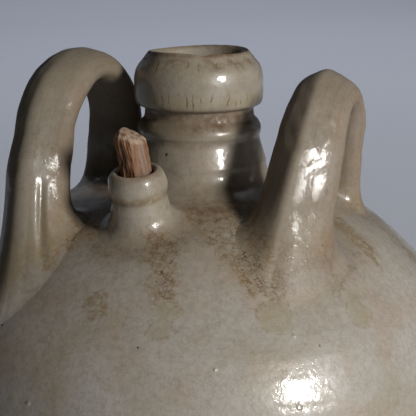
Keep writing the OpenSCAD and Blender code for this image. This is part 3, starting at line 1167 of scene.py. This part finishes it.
@dataclass
class Strap:
    """A pulled strap bent into a loop and smeared onto the shoulder at both feet.

    The centre line is a limb, a round top and a limb, each limb tangent to the top. The section is an
    oval at the top of the loop, and a front limb has been pressed into flat sides.

    Attributes:
        side: Which loop this is.
        body: The body that it is luted onto.
        centre: Middle of the round top.
        top_r: Mean radius of the round top.
        width: Width of the strap.
        turn: Swing of the loop's plane about Z, in degrees.
        lean: Tip of the loop's top towards +X, in degrees.
        splay: Splay of the front and the back limb, in degrees.
        sides: Flat sides of the front limb. Each has its direction, turning from the outer face
            towards +X in degrees, and its distance from the middle line.
        pressed_top: How much of the flat sides is left at the top of the loop.
        slim: Share by which the strap narrows at the top of the loop.
        reach: How far the feet spread over the shoulder, across the strap and through it.
        clearance: Height above the shoulder at which the front and the back limb turn into feet.
        thickness: Thickness of the oval section.
        dome: Share of the thickness that lies outside the middle line.
        roundness: Power that rounds the corners of the flat sides; a lower one rounds them more.
        foot_in: How far the front foot is set sideways, towards the spout's +X side.
        foot_in_range: Lengths down the front limb between which it is set sideways.
        forward_bow: How far the front limb bows forwards.
        bow_length: Length down the front limb over which it bows.
        level_z: Height at which a limb counts as fully itself.
        columns: Points round each ring.
        rings: Rings along the loop.
        limb_length: Length of each limb before the shoulder cuts it off.
        matt_from: Heights between which the glaze turns matt towards the top of the loop.
        dull_band: Middle height and half width of a dull band, or None.
    """

    side: Side
    body: Body
    centre: tuple[float, float, float]
    top_r: float
    width: float
    turn: float
    lean: float
    splay: tuple[float, float]
    sides: tuple[tuple[float, float], ...]
    pressed_top: float
    slim: float = 0.0
    reach: tuple[float, float] = (10.0, 15.0)
    clearance: tuple[float, float] = (28.0, 17.0)
    thickness: float = 17.0
    dome: float = 0.58
    roundness: float = 8.0
    foot_in: float = 0.0
    foot_in_range: tuple[float, float] = (10.0, 62.0)
    forward_bow: float = 5.0
    bow_length: float = 72.0
    level_z: float = 212.0
    columns: int = 128
    rings: int = 190
    limb_length: float = 95.0
    matt_from: tuple[float, float] = (276.0, 290.0)
    dull_band: tuple[float, float] | None = None

    def centre_line(self) -> tuple[np.ndarray, np.ndarray, np.ndarray, np.ndarray]:
        """Works out the strap's middle line.

        Returns:
            Points along it, the unit tangents, the unit direction across the strap, and how much
            each point belongs to the front limb, from 1 at its foot to 0 at the top of the loop.
        """
        turn, lean = math.radians(self.turn), math.radians(self.lean)
        front, back = (math.radians(a) for a in self.splay)
        along = np.array([-math.sin(turn), math.cos(turn), 0.0])
        up = np.array([math.cos(turn) * math.sin(lean), math.sin(turn) * math.sin(lean), math.cos(lean)])
        across = np.cross(along, up)
        arc = self.top_r * (math.pi - front - back)
        s = np.linspace(-self.limb_length, arc + self.limb_length, 1500)
        angle = front + np.clip(s, 0, arc) / self.top_r
        flat = self.top_r * np.stack([-np.cos(angle), np.sin(angle)], -1)
        before, after = np.minimum(s, 0)[:, None], np.maximum(s - arc, 0)[:, None]
        flat = flat + before * np.array([math.sin(front), math.cos(front)])
        flat = flat + after * np.array([math.sin(back), -math.cos(back)])
        bowed = self.forward_bow * np.sin(np.clip(-s / self.bow_length, 0, 1) * math.pi) ** 2
        points = np.array(self.centre) + (flat[:, 0] - bowed)[:, None] * along + flat[:, 1:] * up
        points = points + (self.foot_in * ease(*self.foot_in_range, -s))[:, None] * across
        middle = arc / 2
        points = points + 0.5 * np.stack([ripple(points, 75.0, 71 + k) for k in range(3)], -1)
        above = points[:, 2] - self.body.height(points)
        keep = np.where(s < middle, above > self.clearance[0], above > self.clearance[1])
        chosen = points[keep]
        length = np.concatenate([[0], np.cumsum(np.linalg.norm(np.diff(chosen, axis=0), axis=-1))])
        even = np.linspace(0, length[-1], self.rings)
        line = np.stack([np.interp(even, length, chosen[:, k]) for k in range(3)], -1)
        tangent = unit(np.gradient(line, axis=0))
        run = self.centre[2] - self.level_z
        share = (np.interp(even, length, s[keep]) + run) / (arc + 2 * run)
        return line, tangent, across, np.clip(np.cos(math.pi * share), 0, 1)

    def section(self, angle: np.ndarray, limb: np.ndarray) -> np.ndarray:
        """Works out how far the skin lies from the middle line.

        The oval is two half ellipses of one width and unequal thickness. The pressed shape adds the
        flat sides as powers of the cosine over the distance, which rounds the corners between them.

        Args:
            angle: Directions round the section, from across the strap towards its inner face.
            limb: How much each ring belongs to the front limb.

        Returns:
            Distances, one row for each ring.
        """
        across, outwards = np.cos(angle), -np.sin(angle)
        half = self.thickness * np.where(outwards > 0, self.dome, 1 - self.dome)
        oval = 1 / np.hypot(2 * across / self.width, outwards / half)
        direction, distance = np.array(self.sides).T[:, :, None]
        facing = np.sin(np.radians(direction)) * across + np.cos(np.radians(direction)) * outwards
        pressed = np.sum((np.maximum(facing, 0) / distance) ** self.roundness, 0) ** (-1 / self.roundness)
        share = np.clip(1.4 * limb, self.pressed_top, 1)[:, None]
        return (1 - share) * oval + share * pressed

    def build(self) -> bpy.types.Object:
        """Makes the strap: front skirt, rings round the loop, back skirt."""
        line, tangent, across, limb = self.centre_line()
        sideways = unit(across - (tangent @ across)[:, None] * tangent)
        through = np.cross(tangent, sideways)
        angle = np.arange(self.columns) * TAU / self.columns
        c, s = np.cos(angle), np.sin(angle)
        share = np.linspace(0, 1, self.rings)
        swell = 1 + 0.03 * np.sin(share * 9 + self.top_r) + 0.05 * (2 * share - 1) ** 4
        along_mm = share[:, None] * 160
        seed = 80 if self.side is Side.LEFT else 90
        stretched = np.stack(np.broadcast_arrays(c[None] * 17, s[None] * 8, along_mm * 0.05), -1)
        pulled = ripple(stretched, 7.5, seed)
        narrow = 1 - self.slim * hump(share, 0.5, 0.22)[:, None]
        size = self.section(angle, limb) * swell[:, None] * (1 + 0.008 * pulled)
        rows = (
            line[:, None] + (size * narrow * c)[..., None] * sideways[:, None]
            + (size * s)[..., None] * through[:, None]
        )
        knocks = 0.22 * ripple(rows, 24.0, seed + 1) + 0.10 * ripple(rows, 9.0, seed + 2)
        rows = rows + unit(rows - line[:, None]) * knocks[..., None]
        reach = self.reach[0] * np.abs(c) + self.reach[1] * np.abs(s)
        front_reach = reach * (1 + 0.12 * ripple(rows[0], 20.0, seed + 3))
        front = self.body.skirt(rows[0], -tangent[0], front_reach)
        back_reach = reach * (0.8 + 0.12 * ripple(rows[-1], 20.0, seed + 4))
        back = self.body.skirt(rows[-1], tangent[-1], back_reach)
        if self.side is Side.LEFT:
            front = self.smeared(front, angle)
        rows = np.concatenate([front[::-1], rows, back])
        edge = np.abs(np.cos(angle))[None] ** 6 + 0 * rows[..., 0]
        arris = math.radians((self.sides[0][0] + self.sides[1][0]) / 2 - 90)
        past = (angle[None] - arris + math.pi) % TAU - math.pi
        wiped = 0.9 * hump(past, 0.08, 0.4)
        if self.dull_band is not None:
            wiped = np.maximum(wiped, 0.3 + 0.7 * hump(rows[..., 2], *self.dull_band))
        matt_top = ease(*self.matt_from, rows[..., 2])
        above = rows[..., 2] - self.body.height(rows)
        patchy = ease(-0.8, 0.8, ripple(rows, 26.0, seed + 5))
        own = {
            "dry": np.maximum.reduce([0.95 * matt_top, 0.8 * edge, wiped + 0 * edge]),
            "thin": 0.6 * edge * (0.35 + 0.65 * patchy),
            "stain": 0.4 * ease(14, 1, above) * patchy,
            "crackle": 0.6 * ease(22, 4, above) * patchy,
            "pool": 0.25 * ease(30, 5, above),
            "tone": np.full(above.shape, 0.75),
            "pulled": np.ones(above.shape),
        }
        return grid_object(f"{self.side.value}_loop_strap", rows, Ends.CAPPED, self.body.merged(rows, own))

    def smeared(self, rows: np.ndarray, angle: np.ndarray) -> np.ndarray:
        """Presses the groove that a thumb left down the front of the foot, between two lips of clay.

        Args:
            rows: Points of the front skirt.
            angle: Directions round the section.

        Returns:
            The pressed points.
        """
        middle = math.radians(-42)
        down = np.linspace(0, 1, len(rows))[:, None]
        aside = (angle[None] - middle + math.pi) % TAU - math.pi
        groove = -1.1 * hump(aside, 0.0, 0.12)
        depth = groove + 0.6 * hump(aside, 0.24, 0.13) + 0.5 * hump(aside, -0.26, 0.15)
        outwards = unit(rows - rows.mean(1, keepdims=True))
        return rows + outwards * (depth * hump(down, 0.32, 0.38) * (1 - down) ** 0.3)[..., None]


# --- surroundings --------------------------------------------------------------------------------


@dataclass(frozen=True)
class Surroundings:
    """Pale floor, soft studio light and the camera.

    Attributes:
        aim: Point that the camera looks at.
        azimuth: Camera's side, in degrees from the spout's side towards +X.
        elevation: Camera's height above the horizon, in degrees.
        distance: Camera's distance from the aim.
        field_width: Width that the view covers at the aim.
        roll: Tilt of the camera, in degrees.
    """

    aim: tuple[float, float, float]
    azimuth: float = 25.7
    elevation: float = 12.7
    distance: float = 850.0
    field_width: float = 233.0
    roll: float = -0.4

    def direction(self, azimuth: float, elevation: float) -> Vector:
        """Unit direction from the object towards a place, by azimuth and elevation in degrees."""
        a, e = math.radians(azimuth), math.radians(elevation)
        return Vector((math.sin(a) * math.cos(e), -math.cos(a) * math.cos(e), math.sin(e)))

    def camera(self) -> None:
        """Makes the camera at the viewing angle."""
        data = bpy.data.cameras.new("view")
        data.lens = data.sensor_width * self.distance / self.field_width
        made = bpy.data.objects.new("view", data)
        bpy.context.scene.collection.objects.link(made)
        back = self.direction(self.azimuth, self.elevation)
        side = Vector((math.cos(math.radians(self.azimuth)), math.sin(math.radians(self.azimuth)), 0))
        made.location = (Vector(self.aim) + back * self.distance + side * 4.5) * MM
        turn = (-back).to_track_quat("-Z", "Y").to_matrix()
        made.rotation_euler = (turn @ Matrix.Rotation(math.radians(self.roll), 3, "Z")).to_euler()
        bpy.context.scene.camera = made

    def panel(self, name: str, azimuth: float, elevation: float, distance: float, size: tuple[float, float],
              power: float, colour: str, downwards: bool = False) -> None:
        """Adds one soft rectangular light that faces the bottle, or the floor below the light.

        Args:
            name: Name of the light.
            azimuth: Its side, in degrees from the camera's side.
            elevation: Its height above the horizon, in degrees.
            distance: Its distance from the bottle, in metres.
            size: Its width and height, in metres.
            power: Its power in watts.
            colour: Its colour.
            downwards: Whether it faces the floor, in a beam too narrow to reach the bottle.
        """
        data = bpy.data.lights.new(name, "AREA")
        data.shape = "RECTANGLE"
        data.size, data.size_y = size
        data.energy = power
        data.color = linear(colour)[:3]
        made = bpy.data.objects.new(name, data)
        bpy.context.scene.collection.objects.link(made)
        towards = self.direction(self.azimuth + azimuth, elevation)
        made.location = Vector(self.aim) * MM + towards * distance
        made.rotation_euler = towards.to_track_quat("Z", "Y").to_euler()
        if downwards:
            made.rotation_euler = (0.0, 0.0, math.radians(self.azimuth))
            data.spread = math.radians(95)

    def lights(self) -> None:
        """Window from the front right, weak light from the walls, and a wash on the floor far behind."""
        self.panel("window", 43, 21, 2.6, (0.46, 0.56), 65, "#fffdf8")
        self.panel("room_fill", -65, 20, 2.5, (1.6, 1.6), 0.15, "#e8e2da")
        self.panel("back_wall", 180, 17, 5.6, (8.6, 3.1), 17, "#d9e0ee")
        self.panel("far_wall", 118, 14, 2.6, (1.8, 1.2), 3, "#d6d8dc")
        self.panel("floor_wash", 180, 34, 4.2, (3.6, 4.4), 33, "#e4e9f3", downwards=True)
        world = bpy.data.worlds.new("soft_room")
        world.use_nodes = True
        world.node_tree.nodes["Background"].inputs["Color"].default_value = linear("#cfc6ba")
        world.node_tree.nodes["Background"].inputs["Strength"].default_value = 0.009
        bpy.context.scene.world = world

    def floor(self) -> None:
        """Adds a wide floor of matt paper, finely mottled, with painted shade that makes it a little darker
        far behind on the left.
        """
        mesh = bpy.data.meshes.new("pale_floor")
        half = 9.0
        edges = [(-half, -half, 0), (half, -half, 0), (half, half, 0), (-half, half, 0)]
        mesh.from_pydata(edges, [], [(0, 1, 2, 3)])
        made = bpy.data.objects.new("pale_floor", mesh)
        bpy.context.scene.collection.objects.link(made)
        paper = bpy.data.materials.new("matt_floor_paper")
        paper.use_nodes = True
        tree = paper.node_tree
        tree.nodes.clear()
        place = add_node(tree, "TexCoord").outputs["Object"]
        tone = add_node(tree, "TexNoise", {"Vector": place, "Scale": 1.2, "Detail": 3.0}).outputs["Fac"]
        mottled = add_node(
            tree, "ValToRGB", {"Fac": tone}, stops=[(0.2, linear("#d9dce4")), (0.8, linear("#dee1e9"))]
        ).outputs["Color"]
        # Painted shade: the paper is mixed darker far behind on the left, as if less light reached it
        # there.
        shaded_far_left = (-0.714, 0.699, 0.0)
        away = add_node(tree, "VectorMath", {0: place, 1: shaded_far_left}, operation="DOT_PRODUCT")
        far = add_node(
            tree, "MapRange", {"Value": away.outputs["Value"], "From Min": 0.6, "From Max": 3.4}
        ).outputs["Result"]
        colour = add_node(
            tree, "Mix", {0: far, 6: mottled, 7: linear("#bbbec6")}, data_type="RGBA"
        ).outputs[2]
        shader = add_node(tree, "BsdfPrincipled", {"Base Color": colour, "Roughness": 0.9})
        add_node(tree, "OutputMaterial", {"Surface": shader.outputs["BSDF"]})
        mesh.materials.append(paper)


# --- assembly ------------------------------------------------------------------------------------


def main() -> None:
    """Loads the frame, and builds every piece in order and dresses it."""
    logging.basicConfig(level=logging.INFO, format="%(name)s: %(message)s")
    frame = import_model()
    lower_low, lower_high = (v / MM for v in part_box("lower_wall"))
    _, shoulder_high = (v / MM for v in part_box("shoulder"))
    _, neck_high = (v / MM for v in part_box("neck"))
    mouth = next(m for m in frame["record"]["mounts"] if m["name"] == "mouth")
    pull = next(j for j in frame["joints"] if j["name"] == "plug_pull")

    body = Body(shoulder_high.x, lower_high.z, shoulder_high.z, lower_low.z)
    body_glaze = Glaze("ash_glaze_on_body").material()
    neck_glaze = Glaze("ash_glaze_on_neck", craze_lines=1.0).material()
    strap_glaze = {
        Side.LEFT: Glaze("ash_glaze_on_left_strap", strap_streaks=0.4, deep="#685f4e").material(),
        Side.RIGHT: Glaze("ash_glaze_on_right_strap", strap_streaks=0.35, deep="#776b5b").material(),
    }
    bare_clay = BareStoneware().material()
    peg_wood = PegWood().material()

    spout_reach = 68.0
    line = SpoutAxis(np.array([0, -spout_reach, body.crown_z - 13]), unit(np.array(pull["axis"], float)))
    left_sides = ((44, 12.3), (-32, 14.3), (109, 18.8), (-91, 18.0), (180, 10.5))
    right_sides = ((34, 11.2), (-40, 14.0), (105, 17.8), (-100, 17.8), (180, 10.0))
    straps = (
        Strap(
            Side.LEFT, body, centre=(-59.0, -28.5, 290.5), top_r=35.5, width=34, turn=-4, lean=2.5,
            splay=(10, 0), sides=left_sides, pressed_top=0.1, roundness=5.0, foot_in=6.0,
        ),
        Strap(
            Side.RIGHT, body, centre=(73.0, -1, 291), top_r=26, width=34, turn=8, lean=7,
            splay=(14, 8), sides=right_sides, pressed_top=0.5, slim=0.05,
            matt_from=(288, 300), dull_band=(265, 9),
        ),
    )
    feet = [end for strap in straps for end in strap.centre_line()[0][[0, -1]]]
    body.luted = [body.snap(line.root), *(body.snap(end) for end in feet)]
    dress(body.floor_disc(), bare_clay, "bare_stoneware", "jug", "base")
    dress(body.lower_half(), body_glaze, "glaze", "jug", "lower_wall")
    dress(body.upper_half(), body_glaze, "glaze", "jug", "shoulder")
    neck = Neck(body, neck_high.z, mouth["dims"]["r_mm"], 35.3)
    dress(neck.build(), neck_glaze, "glaze", "jug", "neck")
    dress(Spout(body, line).build(), body_glaze, "glaze", "jug", "spout")
    for strap in straps:
        dress(strap.build(), strap_glaze[strap.side], "glaze", "jug", f"{strap.side.value}_handle")
    dress(Peg(line).build(), peg_wood, "peg_wood", "plug", "plug")

    surroundings = Surroundings((0.0, 0.0, body.crown_z - 15.6))
    surroundings.camera()
    surroundings.lights()
    surroundings.floor()
    bpy.context.scene.view_settings.view_transform = "Standard"


if __name__ == "__main__":
    main()
